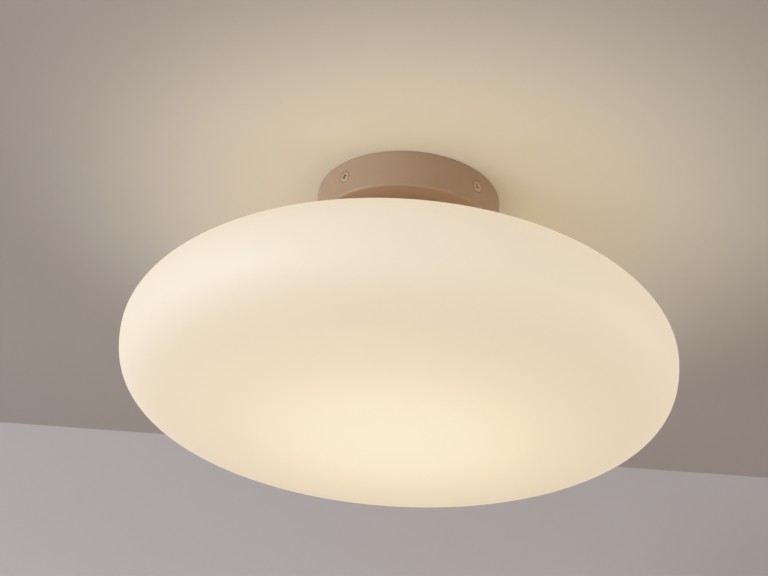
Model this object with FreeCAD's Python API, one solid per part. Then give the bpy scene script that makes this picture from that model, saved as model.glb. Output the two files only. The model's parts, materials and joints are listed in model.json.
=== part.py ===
import FreeCAD, Part
import math
import os

# Ceiling light: a drum canopy, a collar and a flattened opal glass globe on a screw neck.
# Millimetres. The ceiling is the plane z = 0, and the light hangs below it along the z axis.

Vector = FreeCAD.Vector
DOWN = Vector(0, 0, -1)
UP = Vector(0, 0, 1)
QUARTER = 90.0
FULL = 360.0

# Clearances
running_gap = 0.3
screw_gap = 0.1
sleeve_gap = 0.2
cut_overrun = 2.0

# Canopy: a pressed steel drum, open at the ceiling, with four countersunk screws in its side
canopy_floor_width = 16.0
canopy_height = 25.4
canopy_wall = 1.2
canopy_edge_radius = 1.5
canopy_inner_edge_radius = 0.5
canopy_screw_count = 4
canopy_screw_first_angle = 45.0
canopy_screw_depth = 11.2
canopy_screw_diameter = 4.0
canopy_screw_length = 8.0
canopy_screw_head_diameter = 7.5
canopy_screw_head_rim = 0.25

# Ceiling bracket: a pressed plate with four arms that end in bent tabs behind the canopy's wall
bracket_thickness = 1.5
bracket_slot_margin = 3.0
bracket_arm_width = 14.0
bracket_tab_length = 17.5
bracket_bend_radius = 2.0
bracket_collar_wall = 1.5
bracket_collar_height = 2.0
bracket_slot_spacing = 68.0
bracket_slot_length = 14.0
bracket_slot_width = 5.2
bracket_window_spacing = 50.0
bracket_window_diameter = 9.0

# Cable bushing in the bracket, where the supply cable comes out of the ceiling
bushing_offset = 25.0
bushing_bore_diameter = 10.0
bushing_wall = 3.0
bushing_flange_width = 2.5
bushing_flange_height = 2.0
bushing_rounding = 0.5

# Studs that stand on the canopy's floor, with their nuts and washers
stud_count = 4
stud_diameter = 3.0
stud_length = 8.4
stud_nut_across_flats = 5.5
stud_nut_height = 2.4
stud_washer_diameter = 7.0
stud_washer_thickness = 0.5

# Gallery: the collar below the canopy that the glass neck screws into
gallery_thread_room = 1.6
gallery_wall = 1.2
gallery_drop = 20.6
gallery_flange_width = 8.0
gallery_bend_radius = 1.2
gallery_lip_radius = 0.4

# Holder bridge: a joggled strap across the canopy that carries the lampholder
bridge_thickness = 1.5
bridge_width = 18.0
bridge_end_margin = 5.0
bridge_foot_length = 13.0
bridge_rise = 5.7
bridge_ramp_length = 6.0
bridge_bend_radius = 2.0

# Hollow threaded nipple with its nut and lock washer
nipple_bore = 8.0
nipple_wall = 1.0
nipple_above_bridge = 5.0
nipple_below_bridge = 5.0
nipple_nut_across_flats = 14.0
nipple_nut_height = 3.0
nipple_washer_diameter = 15.0
nipple_washer_thickness = 0.8

# Lampholder for a 27 mm Edison screw cap: housing cap, housing body, ceramic core, shell, contacts
holder_wall = 2.0
holder_neck_diameter = 17.0
holder_neck_height = 3.0
holder_cone_height = 5.5
holder_cap_height = 14.0
holder_body_height = 29.0
holder_edge_radius = 1.2
holder_core_thickness = 4.0
holder_core_drop = 1.5
holder_ledge_height = 2.0
holder_ledge_width = 1.8
holder_shell_room = 2.4
holder_shell_recess = 2.0
holder_shell_wall = 0.5
holder_thread_gap = 0.4
holder_mouth_gap = 0.4

# Contacts of the lampholder
contact_thickness = 0.6
contact_width = 6.0
contact_bend_radius = 0.9
contact_screw_reach = 11.5
contact_screw_diameter = 3.0
contact_screw_head_diameter = 5.8
contact_screw_head_height = 1.8
contact_screw_hold = 3.5
contact_tab_overhang = 3.5
centre_contact_slot_reach = 5.0
centre_contact_tongue_reach = 3.0
centre_contact_drop = 1.9
centre_contact_dip = 0.5

# Terminal block under the bracket, with brass clamps and their screws
pole_count = 3
pole_pitch = 10.0
block_near_edge = 12.0
block_depth = 17.0
block_height = 13.0
block_edge_radius = 1.0
clamp_length = 15.0
clamp_width = 5.0
clamp_height = 6.0
clamp_bore = 3.2
clamp_screw_spacing = 9.0
clamp_screw_diameter = 2.6
clamp_screw_length = 3.6
block_screw_diameter = 3.0
block_screw_head_diameter = 5.6
block_screw_head_height = 2.0
block_screw_tip_depth = 0.2

# Earth connection: a screw in the bracket with two ring terminals, and one ring on a canopy stud
earth_screw_x = 30.0
earth_screw_y = 22.0
earth_screw_diameter = 4.0
earth_screw_head_diameter = 7.6
earth_screw_head_height = 2.6
earth_washer_diameter = 9.0
earth_washer_thickness = 0.8
ring_margin = 1.9
ring_thickness = 0.8
ring_neck_length = 2.2
barrel_length = 5.0
barrel_wall = 0.6
barrel_gap = 0.1

# Wires, with the corner points of their routes worked out in the functions below
wire_diameter = 2.0
wire_spread = 1.4
wire_bend_share = 0.45
wire_clamp_hold = 7.0
wire_lift = 5.0
live_wire_reach = 15.0
neutral_wire_reach = 22.0
neutral_wire_return = 14.0
wire_fan_drop = 10.4
wire_fan_reach = 3.8
wire_tail_gap = 1.5
earth_wire_reach = 12.5
earth_wire_corner_x = 19.5
earth_wire_corner_y = 31.0
link_wire_offset = 1.5
link_wire_corner_y = 19.0

# Glass globe: two flattened quarter outlines of the same rim, with a neck, a ledge and a bead
globe_diameter = 345.0
globe_shoulder_drop = 15.5
globe_upper_height = 56.0
globe_lower_height = 48.0
upper_rim_pull_share = 0.64
upper_pole_pull_share = 0.6
lower_rim_pull_share = 0.66
lower_pole_pull_share = 0.9
globe_wall = 4.0
neck_diameter = 82.4
neck_height = 18.0
neck_lip_radius = 1.5
bead_overhang = 0.5
bead_height = 3.0
shoulder_start_share = 0.8
shoulder_pull_share = 0.5

# Seal: a flat silicone ring between the collar's edge and the ledge of the glass
seal_thickness = 3.0
seal_edge_radius = 0.6

# Bulb: a 60 mm LED lamp with an Edison screw cap
bulb_contact_gap = 0.4
bulb_tip_diameter = 9.0
bulb_tip_height = 1.4
bulb_insulator_height = 3.6
bulb_insulator_step = 0.2
bulb_cap_diameter = 25.8
bulb_cap_height = 20.4
bulb_cap_wall = 0.5
bulb_cap_edge_radius = 1.2
bulb_sleeve_depth = 12.0
bulb_housing_wall = 1.6
bulb_housing_height = 30.0
bulb_housing_lip = 0.6
bulb_housing_belly_share = 0.36
bulb_ball_diameter = 60.0
bulb_ball_offset = 18.0
bulb_diffuser_wall = 1.4
bulb_board_gap = 0.3
bulb_board_thickness = 1.6
bulb_chip_count = 12
bulb_chip_size = 3.0
bulb_chip_height = 0.7
bulb_chip_circle_share = 0.62
driver_length = 34.0
driver_width = 17.0
driver_thickness = 1.2
driver_part_diameter = 8.0
driver_part_height = 13.0

# Places worked out from the sizes above
neck_radius = neck_diameter / 2
gallery_bore_radius = neck_radius + gallery_thread_room
gallery_radius = gallery_bore_radius + gallery_wall
gallery_flange_radius = gallery_radius + gallery_flange_width
stud_circle_radius = gallery_radius + gallery_flange_width / 2
canopy_radius = gallery_radius + canopy_floor_width
canopy_inner_radius = canopy_radius - canopy_wall
canopy_floor_z = canopy_wall - canopy_height
bracket_low_z = -bracket_thickness
bracket_radius = (bracket_slot_spacing + bracket_slot_length) / 2 + bracket_slot_margin
bracket_collar_radius = canopy_screw_diameter / 2 + bracket_collar_wall
bushing_radius = bushing_bore_diameter / 2 + bushing_wall
tab_face_reach = math.sqrt(canopy_inner_radius ** 2 - (bracket_arm_width / 2) ** 2) - running_gap
gallery_flange_z = canopy_floor_z + gallery_wall
gallery_low_z = -canopy_height - gallery_drop
bridge_foot_z = gallery_flange_z
bridge_foot_top_z = bridge_foot_z + bridge_thickness
bridge_low_z = bridge_foot_z + bridge_rise
bridge_top_z = bridge_low_z + bridge_thickness
nipple_radius = nipple_bore / 2 + nipple_wall
bulb_cap_radius = bulb_cap_diameter / 2
shell_bore_radius = bulb_cap_radius + holder_thread_gap
shell_radius = shell_bore_radius + holder_shell_wall
holder_inner_radius = shell_radius + holder_shell_room + holder_ledge_width
holder_radius = holder_inner_radius + holder_wall
holder_joint_z = bridge_low_z - holder_cap_height
holder_mouth_z = holder_joint_z - holder_body_height
core_top_z = holder_joint_z - holder_core_drop
core_low_z = core_top_z - holder_core_thickness
contact_top_z = core_top_z + contact_thickness
contact_wire_z = contact_top_z + wire_diameter / 2
contact_head_z = contact_top_z + wire_diameter
tongue_z = core_low_z - centre_contact_drop
block_low_z = bracket_low_z - block_height
clamp_z = bracket_low_z - block_height / 2
wire_high_z = -wire_lift
ring_z = bracket_low_z - bracket_collar_height
seal_top_z = gallery_low_z
ledge_z = seal_top_z - seal_thickness
neck_top_z = ledge_z + neck_height
bead_radius = gallery_radius + bead_overhang
bead_low_z = ledge_z - bead_height
globe_radius = globe_diameter / 2
globe_rim_z = bead_low_z - globe_shoulder_drop - globe_upper_height
bulb_top_z = tongue_z - contact_thickness / 2 - centre_contact_dip - bulb_contact_gap
bulb_insulator_z = bulb_top_z - bulb_tip_height
bulb_cap_z = bulb_insulator_z - bulb_insulator_height
bulb_skirt_z = bulb_cap_z - bulb_cap_height
bulb_joint_z = bulb_skirt_z - bulb_housing_height
bulb_ball_radius = bulb_ball_diameter / 2
bulb_ball_z = bulb_joint_z - bulb_ball_offset
bulb_joint_radius = math.sqrt(bulb_ball_radius ** 2 - bulb_ball_offset ** 2)


def place(x, z):
    """A point in the xz plane."""
    return Vector(x, 0, z)


def unit(vector):
    return vector * (1 / vector.Length)


def corner_arc(before, corner, after, radius):
    """Start, middle, end and centre of the arc that rounds the corner between two runs."""
    back = unit(before - corner)
    forth = unit(after - corner)
    half_turn = (math.pi - back.getAngle(forth)) / 2
    reach = radius * math.tan(half_turn)
    inward = unit(back + forth)
    centre = corner + inward * (radius / math.cos(half_turn))
    return corner + back * reach, centre - inward * radius, corner + forth * reach, centre


def line(start, end):
    return Part.LineSegment(start, end).toShape()


def rounded_face(corners):
    """A closed face in the xz plane. Each corner is x, z and the radius that rounds it."""
    points = [place(x, z) for x, z, radius in corners]
    count = len(corners)
    stretches = []
    for index, (x, z, radius) in enumerate(corners):
        corner = points[index]
        if radius > 0:
            after = points[(index + 1) % count]
            start, middle, end, centre = corner_arc(points[index - 1], corner, after, radius)
            stretches.append((start, end, Part.Arc(start, middle, end).toShape()))
        else:
            stretches.append((corner, corner, None))
    edges = []
    for index, (start, end, arc) in enumerate(stretches):
        if arc is not None:
            edges.append(arc)
        edges.append(line(end, stretches[(index + 1) % count][0]))
    return Part.Face(Part.Wire(edges))


def turned(corners):
    """A solid of revolution about the z axis."""
    return rounded_face(corners).revolve(Vector(0, 0, 0), UP, FULL)


def disc(radius, low_z, high_z, x=0, y=0):
    return Part.makeCylinder(radius, high_z - low_z, Vector(x, y, low_z), UP)


def ring(inner_radius, outer_radius, low_z, high_z, x=0, y=0):
    hole = disc(inner_radius, low_z - cut_overrun, high_z + cut_overrun, x, y)
    return disc(outer_radius, low_z, high_z, x, y).cut(hole)


def block(size_x, size_y, low_z, high_z, x=0, y=0):
    """A box centred on x and y."""
    corner = Vector(x - size_x / 2, y - size_y / 2, low_z)
    return Part.makeBox(size_x, size_y, high_z - low_z, corner)


def hexagon(across_flats, low_z, high_z):
    radius = across_flats / 2 / math.cos(math.pi / 6)
    angles = [math.pi / 3 * step for step in range(7)]
    points = [Vector(radius * math.cos(angle), radius * math.sin(angle), low_z) for angle in angles]
    return Part.Face(Part.makePolygon(points)).extrude(UP * (high_z - low_z))


def around(shape, count, first_angle=0.0):
    """Copies of a shape, evenly spaced about the z axis."""
    copies = []
    for step in range(count):
        copy = shape.copy()
        copy.rotate(Vector(0, 0, 0), UP, first_angle + FULL / count * step)
        copies.append(copy)
    return copies


def cut_all(shape, tools):
    for tool in tools:
        shape = shape.cut(tool)
    return shape


def strip(points, thickness, width, bend_radius, y=0):
    """A bent sheet strip: its middle line runs through the points, and bend_radius is that line's."""
    sides = [[], []]
    offsets = [thickness / 2, -thickness / 2]
    first = unit(points[1] - points[0])
    here = [points[0] + first.cross(Vector(0, 1, 0)) * offset for offset in offsets]
    ends = list(here)
    for before, corner, after in zip(points, points[1:], points[2:]):
        start, middle, end, centre = corner_arc(before, corner, after, bend_radius)
        normal_in = unit(corner - before).cross(Vector(0, 1, 0))
        normal_out = unit(after - corner).cross(Vector(0, 1, 0))
        for side, offset in enumerate(offsets):
            arc_start = start + normal_in * offset
            arc_end = end + normal_out * offset
            arc_radius = (arc_start - centre).Length
            arc_middle = centre + unit(middle - centre) * arc_radius
            sides[side].append(line(here[side], arc_start))
            sides[side].append(Part.Arc(arc_start, arc_middle, arc_end).toShape())
            here[side] = arc_end
    last = unit(points[-1] - points[-2]).cross(Vector(0, 1, 0))
    tips = [points[-1] + last * offset for offset in offsets]
    for side in (0, 1):
        sides[side].append(line(here[side], tips[side]))
    outline = sides[0] + [line(tips[0], tips[1])] + sides[1][::-1] + [line(ends[1], ends[0])]
    face = Part.Face(Part.Wire(Part.__sortEdges__(outline)))
    face.translate(Vector(0, y - width / 2, 0))
    return face.extrude(Vector(0, width, 0))


def wire(name, points):
    """An insulated wire: straight runs between the points, joined by arcs as large as they allow."""
    edges = []
    radii = []
    here = points[0]
    for before, corner, after in zip(points, points[1:], points[2:]):
        shorter = min((corner - before).Length, (after - corner).Length)
        half_turn = (corner - before).getAngle(after - corner) / 2
        radius = wire_bend_share * shorter / math.tan(half_turn)
        start, middle, end, centre = corner_arc(before, corner, after, radius)
        edges.append(line(here, start))
        edges.append(Part.Arc(start, middle, end).toShape())
        radii.append(round(radius, 1))
        here = end
    edges.append(line(here, points[-1]))
    path = Part.Wire(edges)
    section = Part.Wire(Part.makeCircle(wire_diameter / 2, points[0], points[1] - points[0]))
    tube = path.makePipeShell([section], True, True)
    volume_share = tube.Volume / (math.pi * wire_diameter ** 2 / 4 * path.Length)
    print(name, "bend radii", radii, "length", round(path.Length, 1), "volume share", round(volume_share, 6))
    return tube


def save(name, shapes):
    solids = []
    for shape in shapes:
        solids.extend(shape.Solids)
    shape = solids[0] if len(solids) == 1 else Part.makeCompound(solids)
    shape.exportStep("parts/" + name + ".step")


# The canopy and what fastens it

def screw_turned_outward(shape):
    """Lays a screw drawn head up on the z axis into the canopy's side, at each screw's angle."""
    shape.rotate(Vector(0, 0, 0), Vector(0, 1, 0), QUARTER)
    shape.translate(Vector(canopy_radius, 0, -canopy_screw_depth))
    return around(shape, canopy_screw_count, canopy_screw_first_angle)


def countersunk(extra, length):
    """A countersunk screw, or with some extra all round, the tool for its hole."""
    head = canopy_screw_head_diameter / 2 + extra
    shank = canopy_screw_diameter / 2 + extra
    rim_z = -canopy_screw_head_rim
    cone_z = rim_z - (head - shank)
    return turned([(0, 0, 0), (head, 0, 0), (head, rim_z, 0), (shank, cone_z, 0), (shank, -length, 0),
                   (0, -length, 0)])


def canopy_screws():
    return screw_turned_outward(countersunk(0, canopy_screw_length))


def canopy():
    shell = turned([
        (canopy_radius, 0, 0),
        (canopy_radius, -canopy_height, canopy_edge_radius),
        (gallery_radius + sleeve_gap, -canopy_height, 0),
        (gallery_radius + sleeve_gap, canopy_floor_z, 0),
        (canopy_inner_radius, canopy_floor_z, canopy_inner_edge_radius),
        (canopy_inner_radius, 0, 0),
    ])
    sink = countersunk(screw_gap, canopy_screw_length)
    mouth = disc(canopy_screw_head_diameter / 2 + screw_gap, 0, cut_overrun)
    return cut_all(shell, screw_turned_outward(sink.fuse(mouth)))


def studs():
    stud = disc(stud_diameter / 2, canopy_floor_z, canopy_floor_z + stud_length, stud_circle_radius)
    return around(stud, stud_count)


def stud_stack_z(index):
    """Top of what a stud clamps: the collar's flange, and on two studs also the bridge."""
    on_bridge = index % 2 == 0
    top_z = bridge_foot_top_z if on_bridge else gallery_flange_z
    return top_z + ring_thickness if index == 0 else top_z


def stud_washers():
    washers = []
    for index in range(stud_count):
        low_z = stud_stack_z(index)
        washer = ring(stud_diameter / 2 + screw_gap, stud_washer_diameter / 2, low_z,
                      low_z + stud_washer_thickness, stud_circle_radius)
        washer.rotate(Vector(0, 0, 0), UP, FULL / stud_count * index)
        washers.append(washer)
    return washers


def stud_nuts():
    nuts = []
    for index in range(stud_count):
        low_z = stud_stack_z(index) + stud_washer_thickness
        high_z = low_z + stud_nut_height
        nut = hexagon(stud_nut_across_flats, low_z, high_z)
        nut = nut.cut(disc(stud_diameter / 2 + screw_gap, low_z - cut_overrun, high_z + cut_overrun))
        nut.translate(Vector(stud_circle_radius, 0, 0))
        nut.rotate(Vector(0, 0, 0), UP, FULL / stud_count * index)
        nuts.append(nut)
    return nuts


def stud_holes():
    hole = disc(stud_diameter / 2 + screw_gap, canopy_floor_z, bridge_top_z, stud_circle_radius)
    return around(hole, stud_count)


# The bracket on the ceiling

def slot_hole(x):
    straight = bracket_slot_length - bracket_slot_width
    low_z = bracket_low_z - cut_overrun
    tool = block(straight, bracket_slot_width, low_z, cut_overrun, x)
    for side in (-1, 1):
        tool = tool.fuse(disc(bracket_slot_width / 2, low_z, cut_overrun, x + side * straight / 2))
    return tool


def bracket_arm():
    """One arm with its tab and tapped collar, along the x axis."""
    middle_z = bracket_low_z / 2
    tab_x = tab_face_reach - bracket_thickness / 2
    bend = bracket_bend_radius + bracket_thickness / 2
    arm = strip([place(0, middle_z), place(tab_x, middle_z), place(tab_x, -bracket_tab_length)],
                bracket_thickness, bracket_arm_width, bend)
    collar = disc(bracket_collar_radius, 0, bracket_thickness / 2 + bracket_collar_height)
    collar.rotate(Vector(0, 0, 0), Vector(0, 1, 0), -QUARTER)
    collar.translate(Vector(tab_x, 0, -canopy_screw_depth))
    return arm.fuse(collar)


def ceiling_bracket():
    plate = disc(bracket_radius, bracket_low_z, 0)
    for arm in around(bracket_arm(), canopy_screw_count, canopy_screw_first_angle):
        plate = plate.fuse(arm)
    collar = disc(bracket_collar_radius, ring_z, bracket_low_z, earth_screw_x, earth_screw_y)
    plate = plate.fuse(collar).removeSplitter()
    tapped = disc(canopy_screw_diameter / 2 + screw_gap, -canopy_screw_length - cut_overrun, 0)
    tools = screw_turned_outward(tapped)
    for side in (-1, 1):
        tools.append(slot_hole(side * bracket_slot_spacing / 2))
        tools.append(disc(bracket_window_diameter / 2, bracket_low_z - cut_overrun, cut_overrun,
                          side * bracket_window_spacing / 2, -bushing_offset))
    low_z = ring_z - cut_overrun
    tools.append(disc(bushing_radius + screw_gap, low_z, cut_overrun, 0, -bushing_offset))
    tools.append(disc(earth_screw_diameter / 2 + screw_gap, low_z, cut_overrun, earth_screw_x, earth_screw_y))
    for y in block_screw_places():
        tools.append(disc(block_screw_diameter / 2 + screw_gap, low_z, cut_overrun, 0, y))
    return cut_all(plate, tools)


def cable_bushing():
    bore = bushing_bore_diameter / 2
    flange = bushing_radius + bushing_flange_width
    flange_z = bracket_low_z - bushing_flange_height
    rounding = bushing_rounding
    bushing = turned([(bore, 0, 0), (bore, flange_z, rounding), (flange, flange_z, rounding),
                      (flange, bracket_low_z, rounding), (bushing_radius, bracket_low_z, 0),
                      (bushing_radius, 0, 0)])
    bushing.translate(Vector(0, -bushing_offset, 0))
    return bushing


# The terminal block

def pole_places():
    return [block_near_edge + pole_pitch * (index + 0.5) for index in range(pole_count)]


def block_screw_places():
    return [block_near_edge + pole_pitch * (index + 1) for index in range(pole_count - 1)]


def clamp_screw_xs():
    return [side * clamp_screw_spacing / 2 for side in (-1, 1)]


def terminal_block():
    length = pole_pitch * pole_count
    middle_y = block_near_edge + length / 2
    body = block(block_depth, length, block_low_z, bracket_low_z, 0, middle_y)
    upright = [edge for edge in body.Edges if edge.BoundBox.ZLength > block_height / 2]
    body = body.makeFillet(block_edge_radius, upright)
    tools = []
    for y in pole_places():
        tools.append(block(block_depth + cut_overrun, clamp_width + screw_gap, clamp_z - clamp_height / 2,
                           clamp_z + clamp_height / 2, 0, y))
        for x in clamp_screw_xs():
            tools.append(disc(clamp_screw_diameter / 2 + screw_gap, block_low_z - cut_overrun, clamp_z, x, y))
    for y in block_screw_places():
        tools.append(disc(block_screw_diameter / 2 + screw_gap, block_low_z - cut_overrun, cut_overrun, 0, y))
    return cut_all(body, tools)


def terminal_clamps():
    clamps = []
    for y in pole_places():
        clamp = block(clamp_length, clamp_width, clamp_z - clamp_height / 2, clamp_z + clamp_height / 2, 0, y)
        bore = Part.makeCylinder(clamp_bore / 2, clamp_length + cut_overrun,
                                 Vector(-(clamp_length + cut_overrun) / 2, y, clamp_z), Vector(1, 0, 0))
        clamp = clamp.cut(bore)
        for x in clamp_screw_xs():
            clamp = clamp.cut(disc(clamp_screw_diameter / 2 + screw_gap, block_low_z, clamp_z, x, y))
        clamps.append(clamp)
    return clamps


def terminal_screws():
    top_z = clamp_z - wire_diameter / 2 - screw_gap
    return [disc(clamp_screw_diameter / 2, top_z - clamp_screw_length, top_z, x, y)
            for y in pole_places() for x in clamp_screw_xs()]


def pan_screw(diameter, head_diameter, head_height, seat_z, tip_z, x, y):
    """A screw with its head below the seat and its tip above it."""
    head = head_diameter / 2
    shank = diameter / 2
    low_z = seat_z - head_height
    screw = turned([(0, low_z, 0), (head, low_z, head_height / 2), (head, seat_z, 0), (shank, seat_z, 0),
                    (shank, tip_z, 0), (0, tip_z, 0)])
    screw.translate(Vector(x, y, 0))
    return screw


def block_screws():
    return [pan_screw(block_screw_diameter, block_screw_head_diameter, block_screw_head_height,
                      block_low_z, -block_screw_tip_depth, 0, y) for y in block_screw_places()]


# Earth connections

def ring_terminal(hole_diameter, low_z, angle, x, y, upward):
    """A crimped ring terminal: its ring lies on low_z, and its barrel points along the angle."""
    side = 1 if upward else -1
    hole = hole_diameter / 2 + screw_gap
    outer = hole + ring_margin
    bore = wire_diameter / 2 + barrel_gap
    barrel = bore + barrel_wall
    barrel_z = side * (barrel - ring_thickness / 2)
    start_x = outer + ring_neck_length
    tongue_width = barrel * 2
    tongue = block(start_x + barrel_length / 2, tongue_width, -ring_thickness / 2, ring_thickness / 2,
                   (start_x + barrel_length / 2) / 2)
    tube = Part.makeCylinder(barrel, barrel_length, Vector(start_x, 0, barrel_z), Vector(1, 0, 0))
    shape = disc(outer, -ring_thickness / 2, ring_thickness / 2).fuse(tongue).fuse(tube).removeSplitter()
    shape = shape.cut(disc(hole, -cut_overrun, cut_overrun))
    shape = shape.cut(Part.makeCylinder(bore, barrel_length + cut_overrun, Vector(start_x, 0, barrel_z),
                                        Vector(1, 0, 0)))
    shape.rotate(Vector(0, 0, 0), UP, angle)
    shape.translate(Vector(x, y, low_z + ring_thickness / 2))
    return shape


def barrel_place(hole_diameter, low_z, angle, x, y, upward, share):
    """A point on a ring terminal's barrel, at a share of the barrel's length from its inner end."""
    side = 1 if upward else -1
    outer = hole_diameter / 2 + screw_gap + ring_margin
    barrel = wire_diameter / 2 + barrel_gap + barrel_wall
    reach = outer + ring_neck_length + barrel_length * share
    turn = math.radians(angle)
    height = low_z + ring_thickness / 2 + side * (barrel - ring_thickness / 2)
    return Vector(x + reach * math.cos(turn), y + reach * math.sin(turn), height)


def earth_angle():
    """Direction from the earth screw to the last corner of the earth wire."""
    rise = earth_wire_corner_y - earth_screw_y
    return math.degrees(math.atan2(rise, earth_wire_corner_x - earth_screw_x))


# Each ring terminal's hole, lower face, direction, place in x and y, and whether its barrel lies above
first_ring = (earth_screw_diameter, ring_z - ring_thickness, earth_angle(), earth_screw_x, earth_screw_y,
              False)
link_ring = (earth_screw_diameter, ring_z - ring_thickness * 2, 0, earth_screw_x, earth_screw_y, False)
canopy_ring = (stud_diameter, bridge_foot_top_z, QUARTER, stud_circle_radius, 0, True)


def earth_rings():
    return [ring_terminal(*terminal) for terminal in (first_ring, link_ring, canopy_ring)]


def earth_washer():
    top_z = ring_z - ring_thickness * 2
    hole = earth_screw_diameter / 2 + screw_gap
    return ring(hole, earth_washer_diameter / 2, top_z - earth_washer_thickness, top_z, earth_screw_x,
                earth_screw_y)


def earth_screw():
    seat_z = ring_z - ring_thickness * 2 - earth_washer_thickness
    return pan_screw(earth_screw_diameter, earth_screw_head_diameter, earth_screw_head_height,
                     seat_z, -block_screw_tip_depth, earth_screw_x, earth_screw_y)


# The collar, the bridge and the nipple

def gallery():
    collar = turned([
        (gallery_bore_radius, gallery_low_z, gallery_lip_radius),
        (gallery_radius, gallery_low_z, gallery_lip_radius),
        (gallery_radius, canopy_floor_z, 0),
        (gallery_flange_radius, canopy_floor_z, 0),
        (gallery_flange_radius, gallery_flange_z, gallery_lip_radius),
        (gallery_bore_radius, gallery_flange_z, gallery_bend_radius),
    ])
    return cut_all(collar, stud_holes())


def holder_bridge():
    foot_z = bridge_foot_z + bridge_thickness / 2
    plateau_z = bridge_low_z + bridge_thickness / 2
    end_x = stud_circle_radius + bridge_end_margin
    ramp_x = end_x - bridge_foot_length
    plateau_x = ramp_x - bridge_ramp_length
    points = [place(-end_x, foot_z), place(-ramp_x, foot_z), place(-plateau_x, plateau_z),
              place(plateau_x, plateau_z), place(ramp_x, foot_z), place(end_x, foot_z)]
    strap = strip(points, bridge_thickness, bridge_width, bridge_bend_radius)
    hole = disc(nipple_radius + screw_gap, bridge_low_z - cut_overrun, bridge_top_z + cut_overrun)
    return cut_all(strap, stud_holes() + [hole])


def holder_nipple():
    return ring(nipple_bore / 2, nipple_radius, bridge_low_z - nipple_below_bridge,
                bridge_top_z + nipple_above_bridge)


def nipple_washer():
    return ring(nipple_radius + screw_gap, nipple_washer_diameter / 2, bridge_top_z,
                bridge_top_z + nipple_washer_thickness)


def nipple_nut():
    low_z = bridge_top_z + nipple_washer_thickness
    high_z = low_z + nipple_nut_height
    hole = disc(nipple_radius + screw_gap, low_z - cut_overrun, high_z + cut_overrun)
    return hexagon(nipple_nut_across_flats, low_z, high_z).cut(hole)


# The lampholder

def lampholder_cap():
    neck = holder_neck_diameter / 2
    hole = nipple_radius + screw_gap
    cone_z = bridge_low_z - holder_neck_height
    side_z = cone_z - holder_cone_height
    inside_z = cone_z - holder_wall
    inner = holder_inner_radius
    return turned([
        (hole, bridge_low_z, 0),
        (neck, bridge_low_z, 0),
        (neck, cone_z, 0),
        (holder_radius, side_z, holder_wall),
        (holder_radius, holder_joint_z, 0),
        (inner, holder_joint_z, 0),
        (inner, side_z - holder_wall / 2, 0),
        (neck, inside_z, 0),
        (hole, inside_z, 0),
    ])


def lampholder_body():
    inner = holder_inner_radius
    ledge = inner - holder_ledge_width
    mouth = shell_radius + holder_mouth_gap
    ledge_top_z = core_low_z - holder_shell_wall
    ledge_low_z = ledge_top_z - holder_ledge_height
    floor_z = holder_mouth_z + holder_wall
    return turned([
        (holder_radius, holder_joint_z, 0),
        (holder_radius, holder_mouth_z, holder_edge_radius),
        (mouth, holder_mouth_z, 0),
        (mouth, floor_z, 0),
        (inner, floor_z, 0),
        (inner, ledge_low_z, 0),
        (ledge, ledge_low_z, 0),
        (ledge, ledge_top_z, 0),
        (inner, ledge_top_z, 0),
        (inner, holder_joint_z, 0),
    ])


def core_radius():
    return holder_inner_radius - sleeve_gap


def side_contact_x():
    """The side contact stands over the middle of the shell's flange."""
    return (shell_radius + core_radius()) / 2


def slot_tool(x):
    """A slot for a contact's leg, with room for the bend of the tab that reaches it."""
    width = contact_thickness + sleeve_gap + contact_bend_radius
    return block(width, contact_width + sleeve_gap, core_low_z - cut_overrun, core_top_z + cut_overrun,
                 x - contact_bend_radius / 2)


def lampholder_core():
    core = disc(core_radius(), core_low_z, core_top_z)
    tools = [slot_tool(-centre_contact_slot_reach), slot_tool(side_contact_x())]
    for side in (-1, 1):
        tools.append(disc(contact_screw_diameter / 2 + screw_gap, core_top_z - contact_screw_hold,
                          core_top_z + cut_overrun, side * contact_screw_reach))
    return cut_all(core, tools)


def lampholder_shell():
    top_z = core_low_z
    low_z = holder_mouth_z + holder_shell_recess
    return turned([
        (shell_bore_radius, low_z, 0),
        (shell_radius, low_z, 0),
        (shell_radius, top_z - holder_shell_wall, 0),
        (core_radius(), top_z - holder_shell_wall, 0),
        (core_radius(), top_z, 0),
        (shell_bore_radius, top_z, 0),
    ])


def contact_hole(side):
    return disc(contact_screw_diameter / 2 + screw_gap, core_top_z - cut_overrun, contact_top_z + cut_overrun,
                side * contact_screw_reach)


def centre_contact():
    """The tab under the screw, the leg through the core and the tongue that meets the bulb."""
    tab_z = core_top_z + contact_thickness / 2
    points = [place(-contact_screw_reach - contact_tab_overhang, tab_z),
              place(-centre_contact_slot_reach, tab_z),
              place(-centre_contact_slot_reach, tongue_z),
              place(centre_contact_tongue_reach, tongue_z - centre_contact_dip)]
    return strip(points, contact_thickness, contact_width, contact_bend_radius).cut(contact_hole(-1))


def side_contact():
    tab_z = core_top_z + contact_thickness / 2
    points = [place(contact_screw_reach - contact_tab_overhang, tab_z), place(side_contact_x(), tab_z),
              place(side_contact_x(), core_low_z)]
    return strip(points, contact_thickness, contact_width, contact_bend_radius).cut(contact_hole(1))


def contact_screws():
    screws = []
    for side in (-1, 1):
        x = side * contact_screw_reach
        top_z = contact_head_z + contact_screw_head_height
        head = disc(contact_screw_head_diameter / 2, contact_head_z, top_z, x)
        shank = disc(contact_screw_diameter / 2, core_top_z - contact_screw_hold, contact_head_z, x)
        screws.append(head.fuse(shank))
    return screws


# The wires

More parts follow.
